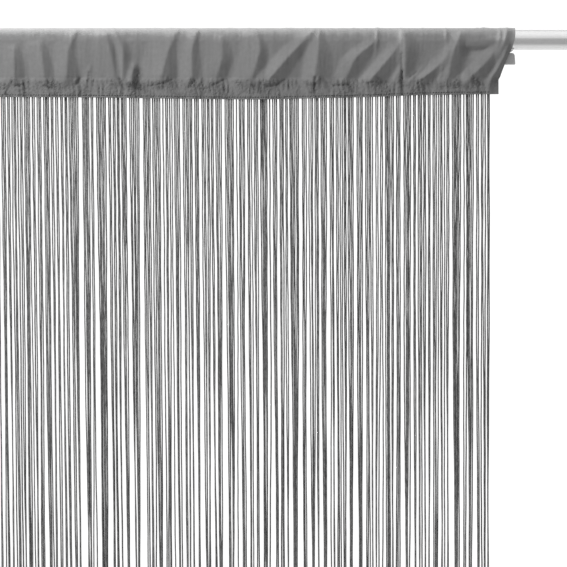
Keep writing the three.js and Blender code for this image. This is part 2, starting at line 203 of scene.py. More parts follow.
# A tuck is a sharp hollow from one (across, up) to another, as wide and deep as given
Tuck = namedtuple("Tuck", "start end width depth")
TUCKS = [
    Tuck((-53, -42), (-60, -55), 1.0, 1.4),
    Tuck((-50, -46), (-45, -46), 1.3, 1.8),
    Tuck((-41, -44), (-39, -54), 1.0, 1.3),
    Tuck((-28, -45), (-20, -42), 0.8, 0.9),
    Tuck((-21, -46), (-12, -49), 1.3, 1.7),
    Tuck((-17, -42), (-10, -48), 0.9, 1.4),
    Tuck((12, -44), (15, -39), 1.5, 2.2),
    Tuck((15, -46), (16, -55), 1.0, 1.5),
    Tuck((24, -33), (22, -48), 1.2, 2.0),
    Tuck((29, -42), (28, -46), 1.0, 1.0),
    Tuck((55, -40), (59, -50), 1.6, 2.4),
    Tuck((59, -50), (58, -56), 1.1, 1.5),
    Tuck((66, -46), (77, -50), 2.6, 1.8),
    Tuck((73, -32), (73, -48), 4.5, 3.0),
    Tuck((79, -44), (81, -54), 0.8, 1.3),
    Tuck((83, -46), (83, -56), 0.9, 1.4),
    Tuck((87, -46), (100, -43), 0.9, 1.2),
    Tuck((100, -43), (107, -40), 1.1, 1.4),
    Tuck((110, -42), (115, -50), 1.0, 1.2),
    Tuck((125, -47), (129, -41), 1.5, 2.2),
    Tuck((138, -40), (138, -53), 1.0, 1.7),
    Tuck((147, -46), (159, -40), 1.0, 1.4),
    Tuck((159, -41), (159, -53), 0.9, 1.3),
    Tuck((180, -44), (180, -52), 1.5, 1.2),
    Tuck((188, -46), (197, -52), 2.0, 1.6),
    Tuck((196, -43), (196, -54), 1.0, 1.8),
    Tuck((202, -47), (211, -46), 1.0, 1.5),
    Tuck((211, -46), (219, -40), 1.3, 1.8),
    Tuck((231, -42), (236, -48), 1.0, 1.3),
    Tuck((250, -38), (249.5, -53), 1.3, 2.6),
    Tuck((245, -53), (249, -55), 1.0, 1.5),
    Tuck((263, -44), (264, -52), 2.0, 1.4),
    Tuck((269, -46), (283, -45), 1.1, 1.8),
    Tuck((283, -45), (288, -52), 1.3, 2.2),
    Tuck((303, -44), (308, -42), 0.9, 1.4),
    Tuck((315, -44), (321, -42), 3.0, 1.3),
    Tuck((336.5, -14), (336.5, -31), 0.9, 1.9),
    Tuck((336.8, -31), (337, -43), 1.0, 3.4),
    Tuck((337, -43), (338, -56), 1.2, 3.4),
    Tuck((352, -44), (357, -40), 1.0, 1.6),
    Tuck((346, -37), (352, -32), 0.9, 1.3),
    Tuck((363, -44), (368, -48), 1.3, 1.2),
    Tuck((395, -46), (405, -50), 2.5, 1.6),
    Tuck((405, -34), (413, -44), 4.0, 1.3),
    Tuck((405, -11), (428, -8), 7.0, 6.0),
]

# Strings
STRING_COUNT = 404
STRING_SECTIONS = 4
STRINGS_WIDTH = 850.0
STRING_TOP = -46.0
STRING_ENDS_SPREAD = 7.0
STRING_LEVELS = 140
STRING_TONES = (0.76, 1.22)
TUBE_SIDES = 5

# How far the strings' even places run to and fro
START_RUN = 0.6

# A string is a little fuller where it leaves the band and again further down
STRING_RADIUS = 0.73
STRING_RADII = (0.9, 1.12)
FULLER_AT_BAND = 0.05
BAND_FULLNESS = (130.0, 0.0)
FULLER_BELOW = 0.09
BELOW_FULLNESS = (320.0, 540.0)

# Neighbouring strings hang in bunches of these sizes, with these odds, and side by side in a
# bunch they are TOUCHING apart. CHANGING_SHARE of them go over to other bunches further down.
BUNCH_SIZES = (1, 2, 3, 4, 5, 6)
BUNCH_ODDS = (0.19, 0.36, 0.23, 0.11, 0.06, 0.05)
BUNCH_SCATTER = 0.35
TOUCHING = 1.4
BESIDE_UNEVEN = 0.15
LATER_SIZES = (2, 3, 4, 5, 6)
LATER_ODDS = (0.25, 0.25, 0.2, 0.17, 0.13)
LATER_SCATTER = 0.5
LATER_RUN = 0.8
CHANGING_SHARE = 0.2
CHANGE_REACH = 0.6
CHANGES_BELOW = (120.0, 620.0)

# By the distance below the hem: how far each string is from its even place to its place
# beside its neighbours, and how far it is drawn on to the middle of its bunch
BELOW_HEM = (0, 60, 150, 300, 470, 1950)
CLOSED_UP = (0.6, 0.64, 0.73, 0.92, 1, 1)
DRAWN_IN = (0, 0.02, 0.06, 0.2, 0.4, 0.55)

# The bends of each string: how far they go, and the distance below the hem where they are full
LONG_BEND = 0.55
SHORT_BEND = 0.28
OUT_BEND = 0.3
LONG_BEND_FULL = 450.0
SHORT_BEND_FULL = 170.0
CRINKLE_BELOW = (0, 40, 130, 300, 1950)
CRINKLE = (0, 0.25, 0.22, 0.1, 0.1)

# Neighbours lie in two layers, which part further down where the strings hang plumb
LAYER_OUT = 0.28
LAYERS_PART = (230.0, 560.0)
LAYERS_PART_BY = 2
PLUMB_BELOW = 260.0

# The most that the strings lean to the right as they hang, where that is, and its reach
LEAN = 0.0117
LEAN_PEAK_ACROSS = -65.0
LEAN_REACH = 490.0

# Stitches along the band
STITCH_PITCH = 2.6
STITCH_ABOVE_HEM = 2.2
STITCH_RADIUS = 0.36
STITCH_LIFT = (0.02, 0.6 * STITCH_RADIUS, 0.02)
STITCH_SLOPE = 0.35
STITCH_REACH = TAB_ACROSS + 1
STITCH_UNEVEN = 0.25
STITCH_LENGTHS = (1.2, 1.9)
STITCH_RADII = (0.85, 1.2)
STITCH_TONES = (0.6, 1.0)

# Brackets: where they stand, and the turn that the cup's ends stay below the rod's axis
BRACKET_ACROSS = HALF_WIDTH - 8.5
CUP_DIP = 0.14

# Points nearer to a plane than LEVEL, in metres, lie in it. Those past ON_RIM of a radius are on
# its rim. A face with more than FACING of its normal along an axis faces that way.
LEVEL = 1e-5
ON_RIM = 0.98
FACING = 0.9

# Edges that turn less than this are shaded smooth
CLOTH_SMOOTH = math.radians(70)
HARD_SMOOTH = math.radians(35)


def smooth(low, high, value):
    """0 below low, 1 above high and an even curve between them."""
    share = np.clip((value - low) / (high - low), 0, 1)
    return share * share * (3 - 2 * share)


def to_frame(across, out, up):
    """Points of the model's frame, in metres, from millimetres across, out and up."""
    x = MIDDLE_X + np.asarray(across) * MM
    y = ROD_Y + np.asarray(out) * MM
    z = np.asarray(up) * MM
    return np.stack(np.broadcast_arrays(x, y, z), axis=-1)


def ripple(across, up, seed, waves, across_length, up_length):
    """A repeatable unevenness of about -1 to 1, made of crossing waves of chosen lengths."""
    draw = np.random.RandomState(seed)
    total = 0
    for _ in range(waves):
        across_turns = draw.choice((-1, 1)) * draw.uniform(0.7, 1.4) / across_length
        up_turns = draw.uniform(-1.2, 1.2) / up_length
        start = draw.uniform(0, 1)
        total = total + np.sin(2 * math.pi * (across * across_turns + up * up_turns + start))
    return total / math.sqrt(waves)


# Heading


def hem_up(across):
    return np.interp(across, HEM_ACROSS, HEM_UP)


def band_wander(across):
    """The band's own slow run to the front and back, and its end turned to the wall."""
    run = sum(reach * np.sin(across / length + start) for reach, length, start in BAND_RUNS)
    return run + TAB_TURN * np.maximum(0, np.abs(across) - TAB_ACROSS)


def across_at(share, up, side):
    """Across at this share of the width, between the ends as they are drawn in there."""
    drawn_in = np.interp(up, END_UP, END_FRONT if side < 0 else END_BACK)
    return (2 * share - 1) * (HALF_WIDTH - drawn_in)


def soft_lower(a, b, rounding):
    """The lower of two values, with the corner between them rounded."""
    return -rounding * np.logaddexp(-a / rounding, -b / rounding)


def eased(up, ups, values):
    """The value at this height between the given ones, with its corners rounded."""
    return sum(np.interp(up + shift, ups, values) for shift in EASED_OVER) / len(EASED_OVER)


def fold_height(fold, across, up):
    """How far one fold stands up here."""
    points = (fold.foot, fold.knee, fold.top)
    ups = [point[1] for point in points]
    crest = eased(up, ups, [point[0] for point in points])
    right = np.maximum(eased(up, ups, fold.right[::-1]), LEAST_WIDTH)
    begins = [fold.top[1] + above for above in FOLD_BEGINS]
    lift = fold.steep * right * smooth(*begins, up)
    from_crest = across - crest
    rising = 1 + from_crest / fold.left
    falling = 1 - from_crest / right
    rounding = CREASE_ROUNDING * (1 / fold.left + 1 / right) / 4
    ridge = soft_lower(rising, falling, rounding)
    above_cloth = -soft_lower(-ridge, 0, rounding)
    return lift * above_cloth


def repeated(hand_placed, ends):
    """The list with its repeat on the left part, moved by FOLD_REPEAT."""
    moved = []
    for item in hand_placed:
        if item[0][0] < REPEAT_UP_TO:
            points = [(across + FOLD_REPEAT, up) for across, up in item[:ends]]
            moved.append(type(item)(*points, *item[ends:]))
    return hand_placed + moved


ALL_FOLDS = repeated(FOLDS, 3)
ALL_TUCKS = repeated(TUCKS, 2)


def tuck_depth(across, up):
    """How deep the listed hollows are here."""
    total = 0
    for tuck in ALL_TUCKS:
        (left, high), (right, low) = tuck.start, tuck.end
        run, fall = right - left, low - high
        along = ((across - left) * run + (up - high) * fall) / (run ** 2 + fall ** 2)
        along = np.clip(along, 0, 1)
        gap = np.hypot(across - left - along * run, up - high - along * fall)
        total = np.maximum(total, tuck.depth * np.exp(-((gap / tuck.width) ** 2)))
    crumple = ripple(across, up, seed=14, waves=7, across_length=4, up_length=4)
    uneven = TUCK_UNEVEN * crumple * smooth(*NEAR_BAND, up)
    return TUCK_SHARE * total * (TUCK_EVEN + uneven) * smooth(*TUCKS_BEGIN, up)


def gathered_share(across, up):
    """0 on the open pocket and 1 in the band, with an uneven start between them."""
    start = ripple(across, 0, seed=15, waves=6, across_length=14, up_length=1)
    return smooth(*GATHERED_FROM, up + GATHERED_UNEVEN * start)


def gather_relief(across, up):
    """The small puckers of the band, uneven along it and gone at its plain ends."""
    patch = ripple(across, up, seed=13, waves=5, across_length=30, up_length=30)
    upright = ripple(across, up, seed=11, waves=9, across_length=4.6, up_length=20)
    small = ripple(across, up, seed=12, waves=9, across_length=3.4, up_length=4.5)
    puckers = UPRIGHT_PUCKERS * upright + SMALL_PUCKERS * small
    puckers = puckers * GATHERS * (GATHERS_EVEN + GATHERS_UNEVEN * patch)
    inside = smooth(TAB_ACROSS + 1, TAB_ACROSS - 3, np.abs(across))
    return puckers * inside * gathered_share(across, up)


def mouth_share(across):
    """1 at the ends of the pocket, and 0 from MOUTH_REACH on."""
    from_end = HALF_WIDTH - np.abs(across)
    return smooth(0, MOUTH_REACH / 2, MOUTH_REACH - from_end)


def mouth_bulge(across, up, side):
    """The front of each end stands out where the bracket sits inside it."""
    return MOUTH_BULGE * mouth_share(across) * smooth(*BULGE_BEGINS, up) * (side < 0)


def fold_relief(across, up, side):
    """How far the folds stand proud of the plain pocket."""
    shift = 0 if side < 0 else BACK_FOLD_SHIFT
    share = 1 if side < 0 else BACK_FOLD_SHARE
    folds = sum(fold_height(fold, across + shift, up) for fold in ALL_FOLDS)
    folds = folds * (1 + (FOLD_IN_BAND - 1) * smooth(*FOLD_FADES, up))
    slow = ripple(across, up, seed=5, waves=7, across_length=14, up_length=60)
    fine = ripple(across, up, seed=6, waves=7, across_length=5, up_length=25)
    held = 1 + (FOLD_AT_MOUTH - 1) * mouth_share(across) * (side > 0)
    return share * held * folds + SLOW_WRINKLES * slow + FINE_WRINKLES * fine


def pocket_depth(across, up, side):
    """From the middle of the pocket to the outside of its cloth, below the rod's axis."""
    drop = np.clip(up / BAND_TOP, 0, 1)
    plain = SLEEVE_RADIUS + (BAND_HALF - SLEEVE_RADIUS) * drop ** POCKET_TAPER
    bulge = (1 - drop) * mouth_bulge(across, up, side)
    shift = 0 if side < 0 else BACK_FOLD_SHIFT
    depth = plain + bulge + fold_relief(across, up, side) + gather_relief(across + shift, up)
    depth = depth + BAND_SLACK * drop - tuck_depth(across + shift, up)
    clear = np.sqrt(np.maximum(0, (SLEEVE_RADIUS + ROD_CLEARANCE) ** 2 - up ** 2))
    return np.maximum(depth, np.maximum(clear, LEAST_HALF))


def pocket_row(share, up, side):
    """One row of the pocket's front (side -1) or back (side 1)."""
    across = across_at(share, up, side)
    drop = np.clip(up / BAND_TOP, 0, 1)
    out = drop * band_wander(across) + side * pocket_depth(across, up, side)
    return across, out, up + 0 * across


def sleeve_row(share, turn):
    """Over the rod, from its front (0) to its back (half a turn)."""
    up = SLEEVE_RADIUS * math.sin(turn)
    side = -1 if turn < math.pi / 2 else 1
    across = across_at(share, up, side)
    flatter = 1 - CREST_FLATTER * smooth(CREST_FROM, SLEEVE_RADIUS, up)
    front = fold_relief(across, up, -1) * flatter
    back = fold_relief(across, up, 1)
    relief = front + (back - front) * smooth(*OVER_TO_BACK, turn)
    out = -(SLEEVE_RADIUS + mouth_bulge(across, up, side) + relief) * math.cos(turn)
    return across, out, (SLEEVE_RADIUS + relief) * math.sin(turn)


def band_row(share, side, down):
    """The gathered band, from the seam (0) to the hem (1)."""
    across = across_at(share, SEAM_UP, side)
    up = SEAM_UP + down * (hem_up(across) - SEAM_UP)
    out = band_wander(across) + side * pocket_depth(across, up, side)
    return across, out, up


def heading_rows(share):
    """The cloth's rows from the front hem, up, over the rod and down to the back hem."""
    rows = [band_row(share, -1, down) for down in np.linspace(*FRONT_BAND_ROWS)]
    rows += [pocket_row(share, up, -1) for up in np.linspace(*FRONT_FOOT_ROWS)]
    rows += [pocket_row(share, up, -1) for up in np.linspace(*FRONT_ROWS)]
    rows += [sleeve_row(share, turn) for turn in np.linspace(*OVER_ROWS)]
    rows += [pocket_row(share, up, 1) for up in np.linspace(*BACK_ROWS)]
    rows += [band_row(share, 1, down) for down in np.linspace(*BACK_BAND_ROWS)]
    return rows


def column_shares():
    """Shares of the width, closer together along the part in the photo."""
    steps = np.where(np.arange(COLUMNS - 1) < FAR_COLUMNS, FAR_STEP, 1.0)
    return np.concatenate(([0], np.cumsum(steps))) / steps.sum()


def deselect():
    bpy.ops.object.select_all(action="DESELECT")


def only(piece):
    """Selects this piece alone and makes it the active one."""
    deselect()
    piece.select_set(True)
    bpy.context.view_layer.objects.active = piece


def place(name):
    """Names the new primitive and puts its place, turn and size in its mesh."""
    piece = bpy.context.object
    piece.name = name
    piece.data.name = name
    bpy.ops.object.transform_apply(location=True, rotation=True, scale=True)
    return piece


def apply_modifier(piece, kind, **settings):
    only(piece)
    modifier = piece.modifiers.new(kind.title(), kind)
    for key, value in settings.items():
        setattr(modifier, key, value)
    bpy.ops.object.modifier_apply(modifier=modifier.name)


def declare(piece, slot, *nodes):
    """What the piece rides on, and the nodes it stands for. The slot of its finish is not used."""
    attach(piece, BODY)
    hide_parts(*nodes)


def make_heading():
    """The heading as one sheet, laid over the rod row by row and given its thickness."""
    share = column_shares()
    rows = heading_rows(share)
    deselect()
    bpy.ops.mesh.primitive_grid_add(
        x_subdivisions=COLUMNS - 1, y_subdivisions=len(rows) - 1, size=1, calc_uvs=True
    )
    piece = place("heading_cloth")
    points = np.array([to_frame(*row) for row in rows])
    piece.data.vertices.foreach_set("co", points.astype(np.float32).ravel())
    piece.data.update()
    set_flat_uv(piece.data, points, share)
    # The hollow values are painted shade that darkens the cloth in tucks and between puckers
    add_point_values(piece.data, "hollow", [hollow_shade(*row) for row in rows])
    add_point_values(piece.data, "gathered", [gathered_share(row[0], row[2]) for row in rows])
    apply_modifier(piece, "SOLIDIFY", thickness=CLOTH * MM, offset=-1, use_even_offset=False)
    only(piece)
    bpy.ops.object.shade_smooth_by_angle(angle=CLOTH_SMOOTH)
    return piece


def add_point_values(mesh, name, values):
    layer = mesh.attributes.new(name, "FLOAT", "POINT")
    layer.data.foreach_set("value", np.array(values).astype(np.float32).ravel())


def hollow_shade(across, out, up):
    """Painted shade: 0 on open cloth and up to 1 deep in a tuck or between two puckers."""
    moved = across + BACK_FOLD_SHIFT * (out > 0)
    between = PUCKER_SHADE * np.maximum(0, -gather_relief(moved, up))
    shade = tuck_depth(moved, up) / FULL_SHADE_TUCK_DEPTH + between
    return np.clip(shade * smooth(*NEAR_BAND, up), 0, 1)


def set_flat_uv(mesh, points, share):
    """The cloth's UV in metres on the flat: along its width, and from its front hem over."""
    steps = np.linalg.norm(np.diff(points, axis=0), axis=2).mean(axis=1)
    length = np.concatenate(([0], np.cumsum(steps)))
    u, v = np.meshgrid(share * CUT_SIZE[0], length)
    flat = np.stack((u.ravel(), v.ravel()), axis=1)
    corner = np.empty(len(mesh.loops), np.int32)
    mesh.loops.foreach_get("vertex_index", corner)
    layer = mesh.uv_layers.active
    layer.name = "UVMap"
    layer.data.foreach_set("uv", flat[corner].astype(np.float32).ravel())


# Strings


def string_lean(across):
    """How far to the right a string goes for each millimetre down."""
    turn = np.minimum(math.pi, math.pi * np.abs(across - LEAN_PEAK_ACROSS) / LEAN_REACH)
    return LEAN * (1 + np.cos(turn)) / 2


def bunches(across, draw, sizes, odds, scatter):
    """For each string, the middle of its bunch and its own place side by side in the bunch."""
    middles = np.empty_like(across)
    beside = np.empty_like(across)
    first = 0
    while first < len(across):
        size = draw.choice(sizes, p=odds)
        bunch = slice(first, first + size)
        middles[bunch] = across[bunch].mean() + draw.normal(0, scatter)
        count = len(across[bunch])
        beside[bunch] = middles[bunch] + (np.arange(count) - (count - 1) / 2) * TOUCHING
        first += size
    return middles, beside


def waver(draw, down, shortest, longest):
    """A slow run of each string to and fro, 1 at its widest."""
    count = len(down)
    length = draw.uniform(shortest, longest, (count, 1))
    start = draw.uniform(0, 1, (count, 1))
    return np.sin(2 * math.pi * (down / length + start))


def string_places(draw):
    """Across of every string in columns: its even place, its place beside its neighbours, the
    middle of its bunch, and the middle that it has gone over to further down."""
    pitch = STRINGS_WIDTH / STRING_COUNT
    start = -STRINGS_WIDTH / 2 + (np.arange(STRING_COUNT) + 0.5) * pitch
    start = start + START_RUN * ripple(start, 0, seed=31, waves=6, across_length=24, up_length=1)
    middle, beside = bunches(start, draw, BUNCH_SIZES, BUNCH_ODDS, BUNCH_SCATTER)
    beside = beside + draw.uniform(-BESIDE_UNEVEN, BESIDE_UNEVEN, STRING_COUNT)
    other, _ = bunches(start, draw, LATER_SIZES, LATER_ODDS, LATER_SCATTER)
    later = np.where(draw.uniform(0, 1, STRING_COUNT) < CHANGING_SHARE, other, middle)
    later = later + LATER_RUN * ripple(start, 0, seed=32, waves=6, across_length=14, up_length=1)
    return start[:, None], beside[:, None], middle[:, None], later[:, None]


def string_bends(draw, down):
    """The long, short and fine bends to the sides that each string has of its own."""
    long_bend = LONG_BEND * smooth(0, LONG_BEND_FULL, down)
    long_bend = long_bend * waver(draw, down, shortest=650, longest=1400)
    short_bend = SHORT_BEND * smooth(0, SHORT_BEND_FULL, down)
    short_bend = short_bend * waver(draw, down, shortest=260, longest=480)
    crinkle = np.interp(down, CRINKLE_BELOW, CRINKLE)
    crinkle = crinkle * waver(draw, down, shortest=45, longest=110)
    return long_bend + short_bend + crinkle


def string_out(draw, start, down):
    """Out of every string: the band's run near it, its layer, and a bend of its own."""
    layer = np.where(np.arange(STRING_COUNT) % 2, LAYER_OUT, -LAYER_OUT)[:, None]
    layer = layer * (1 + LAYERS_PART_BY * smooth(*LAYERS_PART, down))
    bend = OUT_BEND * smooth(0, LONG_BEND_FULL, down)
    bend = bend * waver(draw, down, shortest=200, longest=600)
    return band_wander(start) * smooth(PLUMB_BELOW, 0, down) + layer + bend


def string_paths():
    """Across, out and up of every string at every level, and each string's tone and radius."""
    draw = np.random.RandomState(21)
    start, beside, middle, later = string_places(draw)
    ends = STRING_END + draw.uniform(0, STRING_ENDS_SPREAD, (STRING_COUNT, 1))
    share = np.linspace(0, 1, STRING_LEVELS)[None, :]
    up = STRING_TOP + share * (ends - STRING_TOP)
    down = np.maximum(0, hem_up(start) - up)
    closed = np.interp(down, BELOW_HEM, CLOSED_UP)
    drawn = np.interp(down, BELOW_HEM, DRAWN_IN)
    across = start + closed * (beside - start) + drawn * (middle - beside)
    across = across + CHANGE_REACH * (later - middle) * smooth(*CHANGES_BELOW, down)
    across = across + string_lean(start) * down + string_bends(draw, down)
    out = string_out(draw, start, down)
    tone = draw.uniform(*STRING_TONES, STRING_COUNT)
    radius = STRING_RADIUS * draw.uniform(*STRING_RADII, (STRING_COUNT, 1))
    fuller = FULLER_AT_BAND * smooth(*BAND_FULLNESS, down)
    fuller = fuller + FULLER_BELOW * smooth(*BELOW_FULLNESS, down)
    return across, out, up, tone, radius * (1 + fuller)


def tube_mesh(name, across, out, up, radius, tone, around=("across", "out")):
    """One mesh of closed round tubes, one for each row of the arrays."""
    count, levels = across.shape
    turns = 2 * math.pi * np.arange(TUBE_SIDES) / TUBE_SIDES
    ring = {
        around[0]: radius[:, :, None] * np.cos(turns),
        around[1]: radius[:, :, None] * np.sin(turns),
    }
    points = to_frame(
        across[..., None] + ring.get("across", 0),
        out[..., None] + ring.get("out", 0),
        up[..., None] + ring.get("up", 0),
    )
    corner = np.arange(count * levels * TUBE_SIDES).reshape(count, levels, TUBE_SIDES)
    nearer = np.roll(corner, -1, axis=2)
    quads = (corner[:, 1:], nearer[:, 1:], nearer[:, :-1], corner[:, :-1])
    quads = np.stack(quads, axis=-1).reshape(-1, 4)
    ends = np.concatenate((corner[:, 0, :], corner[:, -1, ::-1]))
    loops = np.concatenate((quads.ravel(), ends.ravel()))
    sizes = np.repeat((4, TUBE_SIDES), (len(quads), len(ends)))
    mesh = bpy.data.meshes.new(name)
    mesh.vertices.add(points.size // 3)
    mesh.vertices.foreach_set("co", points.astype(np.float32).ravel())
    mesh.loops.add(len(loops))
    mesh.loops.foreach_set("vertex_index", loops.astype(np.int32))
    mesh.polygons.add(len(sizes))
    mesh.polygons.foreach_set("loop_start", (np.cumsum(sizes) - sizes).astype(np.int32))
    mesh.update(calc_edges=True)
    mesh.validate()
    add_point_values(mesh, "tone", np.repeat(tone, levels * TUBE_SIDES))
    add_string_uv(mesh, up, count, levels, quads, ends)
    mesh.shade_smooth()
    return mesh


def add_string_uv(mesh, up, count, levels, quads, ends):
    """U runs once round each string and V is its length in metres."""
    side = np.tile(np.arange(TUBE_SIDES), count * levels)
    length = np.repeat(up.ravel() * MM, TUBE_SIDES)
    u = side[quads].astype(float)
    wraps = (u == 0) & ((u == TUBE_SIDES - 1).any(axis=1, keepdims=True))
    u[wraps] = TUBE_SIDES
    u = np.concatenate((u.ravel() / TUBE_SIDES, np.zeros(ends.size)))
    v = np.concatenate((length[quads].ravel(), length[ends].ravel()))
    layer = mesh.uv_layers.new(name="UVMap")
    layer.data.foreach_set("uv", np.stack((u, v), axis=1).astype(np.float32).ravel())


def make_strings():
    across, out, up, tone, radius = string_paths()
    pieces = []
    for number, part in enumerate(np.array_split(np.arange(STRING_COUNT), STRING_SECTIONS), 1):
        name = f"strings_{number}"
        mesh = tube_mesh(name, across[part], out[part], up[part], radius[part], tone[part])
        pieces.append(link_mesh(mesh))
    return pieces


def link_mesh(mesh):
    piece = bpy.data.objects.new(mesh.name, mesh)
    bpy.context.scene.collection.objects.link(piece)
    return piece


# Stitches


def stitch_paths(side, across, long):
    """Short threads lying on the band just above its hem."""
    half = np.linspace(-0.5, 0.5, 3) * long[:, None]
    x = across[:, None] + half
    up = hem_up(x) + STITCH_ABOVE_HEM + STITCH_SLOPE * half
    out = band_wander(x) + side * (pocket_depth(x, up, side) + np.array(STITCH_LIFT))
    return x, out, up


def make_stitches():
    """Both rows of stitches that hold the strings in the band, as one mesh."""
    draw = np.random.RandomState(8)
    count = int(2 * STITCH_REACH / STITCH_PITCH)
    rows = []
    for side in (-1, 1):
        even = np.linspace(-STITCH_REACH, STITCH_REACH, count)
        across = even + draw.uniform(-STITCH_UNEVEN, STITCH_UNEVEN, count)
        rows.append(stitch_paths(side, across, draw.uniform(*STITCH_LENGTHS, count)))
    across, out, up = (np.concatenate(parts) for parts in zip(*rows))
    radius = STITCH_RADIUS * draw.uniform(*STITCH_RADII, (len(across), 1))
    tone = draw.uniform(*STITCH_TONES, len(across))
    mesh = tube_mesh("band_stitches", across, out, up, radius, tone, around=("up", "out"))
    return link_mesh(mesh)


# Rod and brackets


def pick(piece, kind, wanted):
    """Goes into edit mode with the faces or edges that `wanted` accepts selected."""
    only(piece)
    bpy.ops.object.mode_set(mode="EDIT")
    bpy.ops.mesh.select_all(action="DESELECT")
    bpy.ops.mesh.select_mode(type=kind)
    mesh = bmesh.from_edit_mesh(piece.data)
    for item in mesh.faces if kind == "FACE" else mesh.edges:
        item.select_set(bool(wanted(item)))
    bmesh.update_edit_mesh(piece.data)


def done():
    bpy.ops.object.mode_set(mode="OBJECT")


def finish_hard(piece):
    only(piece)
    bpy.ops.object.shade_smooth_by_angle(angle=HARD_SMOOTH)


def make_rod():
    """The tube with rounded ends, and a cap set into each."""
    wall = 0.0016
    cap_gap = 0.0004
    cap_depth = 0.0008
    rounding = 0.0009
    length = rod_high.x - rod_low.x
    middle = ((rod_high.x + rod_low.x) / 2, ROD_Y, 0)
    deselect()
    bpy.ops.mesh.primitive_cylinder_add(
        vertices=96, radius=ROD_RADIUS, depth=length, location=middle,
        rotation=(0, math.pi / 2, 0),
    )
    piece = place("rod_tube")
    pick(piece, "FACE", lambda face: abs(face.normal.x) > FACING)
    bpy.ops.mesh.inset(thickness=wall)
    bpy.ops.mesh.inset(thickness=cap_gap, depth=-cap_depth, use_individual=True)
    done()
    end = length / 2 - LEVEL
    axis = Vector((ROD_Y, 0))
    pick(piece, "EDGE", lambda edge: all(
        abs(v.co.x - middle[0]) > end and (v.co.yz - axis).length > ROD_RADIUS * ON_RIM
        for v in edge.verts
    ))
    bpy.ops.mesh.bevel(offset=rounding, segments=4)
    done()
    finish_hard(piece)
    return piece


def make_wall_plate(side, across):
    """The round plate at the wall, with a rounded edge and a groove inside its border."""
    border = 0.0026
    groove_side = 0.0003
    groove_floor = 0.0005
    groove_depth = 0.0003
    rounding = 0.0011
    low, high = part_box(f"wall_plate_{side}")
    radius = (high.z - low.z) / 2
    depth = high.y - low.y
    middle = (MIDDLE_X + across * MM, (low.y + high.y) / 2, 0)
    deselect()
    bpy.ops.mesh.primitive_cylinder_add(
        vertices=64, radius=radius, depth=depth, location=middle,
        rotation=(math.pi / 2, 0, 0),
    )
    piece = place(f"plate_{side}")
    pick(piece, "FACE", lambda face: face.normal.y < -FACING)
    bpy.ops.mesh.inset(thickness=border)
    bpy.ops.mesh.inset(thickness=groove_side, depth=-groove_depth)
    bpy.ops.mesh.inset(thickness=groove_floor)
    bpy.ops.mesh.inset(thickness=groove_side, depth=groove_depth)
    done()
    axis = Vector((middle[0], 0))
    pick(piece, "EDGE", lambda edge: all(
        v.co.y < low.y + LEVEL and (v.co.xz - axis).length > radius * ON_RIM
        for v in edge.verts
    ))
    bpy.ops.mesh.bevel(offset=rounding, segments=4)
    done()
    finish_hard(piece)
    return piece


def combine(piece, other, operation):
    """Joins the other piece to this one, or cuts this one with it."""
    apply_modifier(piece, "BOOLEAN", object=other, operation=operation, solver="EXACT")
    bpy.data.objects.remove(other)


def make_arm(side, across):
    """The open cup under the rod, spun from its section, with the stem to the wall plate."""
    low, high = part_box(f"bracket_arm_{side}")
    middle_x = MIDDLE_X + across * MM
    inner = 0.0105
    outer = -low.z
    width = 0.0069
    corner = 0.0004
    stem_radius = 0.004
    hole_radius = 0.0023
    hole_depth = 0.008
    deselect()
    bpy.ops.mesh.primitive_plane_add(size=1, location=(middle_x, ROD_Y + (inner + outer) / 2, 0))
    bpy.context.object.scale = (width, outer - inner, 1)
    piece = place(f"arm_{side}")
    pick(piece, "FACE", lambda face: True)
    turn_centre = (middle_x, ROD_Y, 0)
    bpy.ops.mesh.bevel(offset=corner, segments=2, affect="VERTICES")
    bpy.ops.mesh.select_all(action="SELECT")
    bpy.ops.transform.rotate(value=-CUP_DIP, orient_axis="X", center_override=turn_centre)
    bpy.ops.mesh.spin(steps=40, angle=math.pi - 2 * CUP_DIP, center=turn_centre, axis=(1, 0, 0))
    bpy.ops.mesh.select_all(action="SELECT")
    bpy.ops.mesh.normals_make_consistent(inside=False)
    done()
    stem_start = ROD_Y + inner + 2 * corner
    stem_end = high.y
    bpy.ops.mesh.primitive_cylinder_add(
        vertices=40, radius=stem_radius, depth=stem_end - stem_start,
        location=(middle_x, (stem_start + stem_end) / 2, 0), rotation=(math.pi / 2, 0, 0),
    )
    combine(piece, place("stem"), "UNION")
    bpy.ops.mesh.primitive_cylinder_add(
        vertices=32, radius=hole_radius, depth=hole_depth, location=(middle_x, ROD_Y, -outer),
    )
    combine(piece, place("hole"), "DIFFERENCE")
    finish_hard(piece)
    return piece


